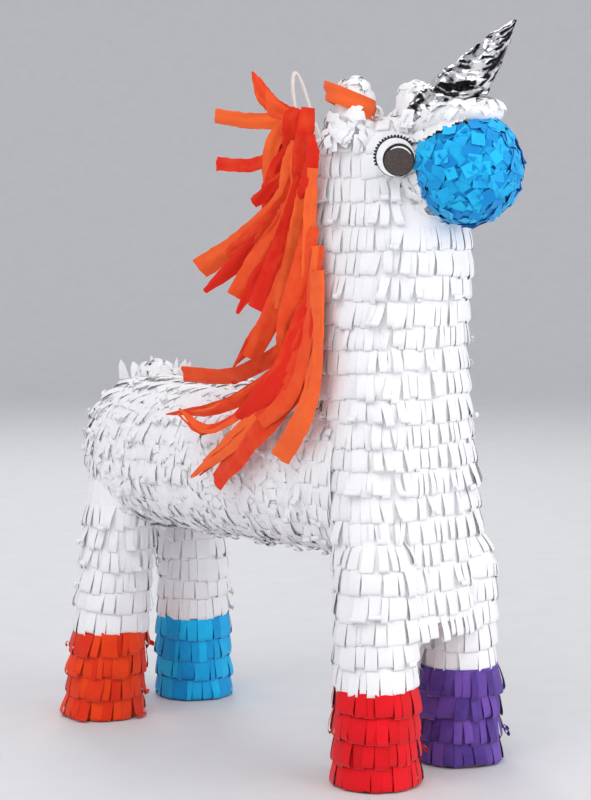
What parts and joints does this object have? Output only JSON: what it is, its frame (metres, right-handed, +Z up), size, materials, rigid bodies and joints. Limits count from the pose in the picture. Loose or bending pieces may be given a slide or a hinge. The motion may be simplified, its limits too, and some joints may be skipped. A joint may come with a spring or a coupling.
{
  "type": "unicorn pinata",
  "caption": "A standing unicorn pinata in white tissue fringe, with an orange streamer mane, a blue muzzle, a silver foil horn, coloured hooves and a cord loop to hang it by.",
  "frame": {"origin": "On the ground under the middle of the whole length, on the plane of symmetry of the body and legs.", "axes": "+Z up, -Y the way the animal faces, +X the animal's left side."},
  "size_m": [0.1682, 0.4304, 0.5473],
  "materials": {
    "cardboard": "matt brown card",
    "white_tissue": "matt crepe tissue, cut in fringes",
    "orange_tissue": "matt tissue streamers",
    "hoof_orange_tissue": "matt tissue fringe",
    "blue_tissue": "matt tissue fringe",
    "red_tissue": "matt tissue fringe",
    "purple_tissue": "matt tissue fringe",
    "cotton_cord": "twisted cotton",
    "printed_card": "printed card",
    "silver_foil": "crinkled foil"
  },
  "bodies": {
    "body": {"barrel_fringe": "white_tissue", "barrel_shell": "cardboard", "brow_roll": "white_tissue", "chest_floor": "cardboard", "cord_knot_left": "cotton_cord", "cord_knot_right": "cotton_cord", "cord_tail_left": "cotton_cord", "cord_tail_right": "cotton_cord", "crown_cap": "cardboard", "crown_fringe": "white_tissue", "ear_left": "white_tissue", "ear_right": "white_tissue", "eye_left": "printed_card", "eye_right": "printed_card", "foot_disc_front_left": "cardboard", "foot_disc_front_right": "cardboard", "foot_disc_rear_left": "cardboard", "foot_disc_rear_right": "cardboard", "forelock_band": "orange_tissue", "hoof_cuff_front_left": "purple_tissue", "hoof_cuff_front_right": "red_tissue", "hoof_cuff_rear_left": "blue_tissue", "hoof_cuff_rear_right": "hoof_orange_tissue", "horn_core": "cardboard", "horn_foil": "silver_foil", "leg_fringe_front_left": "white_tissue", "leg_fringe_front_right": "white_tissue", "leg_fringe_rear_left": "white_tissue", "leg_fringe_rear_right": "white_tissue", "leg_tube_front_left": "cardboard", "leg_tube_front_right": "cardboard", "leg_tube_rear_left": "cardboard", "leg_tube_rear_right": "cardboard", "mane_back": "orange_tissue", "mane_backing": "orange_tissue", "mane_crest": "orange_tissue", "mane_inner": "orange_tissue", "mane_lock": "orange_tissue", "mane_middle": "orange_tissue", "mane_outer": "orange_tissue", "mane_side": "orange_tissue", "mane_sweep": "orange_tissue", "mane_upper": "orange_tissue", "mane_wisp": "orange_tissue", "muzzle_ball": "cardboard", "muzzle_fringe": "blue_tissue", "neck_fringe": "white_tissue", "neck_shell": "cardboard", "snout_fringe": "white_tissue", "snout_tube": "cardboard", "tail_streamer_1": "orange_tissue", "tail_streamer_2": "orange_tissue", "tail_streamer_3": "orange_tissue", "tail_stub": "white_tissue"},
    "flap": {"fill_flap": "cardboard", "flap_fringe": "white_tissue"},
    "loop": {"hanging_loop": "cotton_cord"}
  },
  "joints": [
    {"name": "flap_hinge", "type": "hinge", "parent": "body", "child": "flap", "pos_m": [0, 0.13335, 0.2785], "axis": [-1, 0, 0], "range_deg": [0, 95]},
    {"name": "loop_swing", "type": "hinge", "parent": "body", "child": "loop", "pos_m": [0, -0.03315, 0.462], "axis": [1, 0, 0], "range_deg": [-10, 60]}
  ]
}
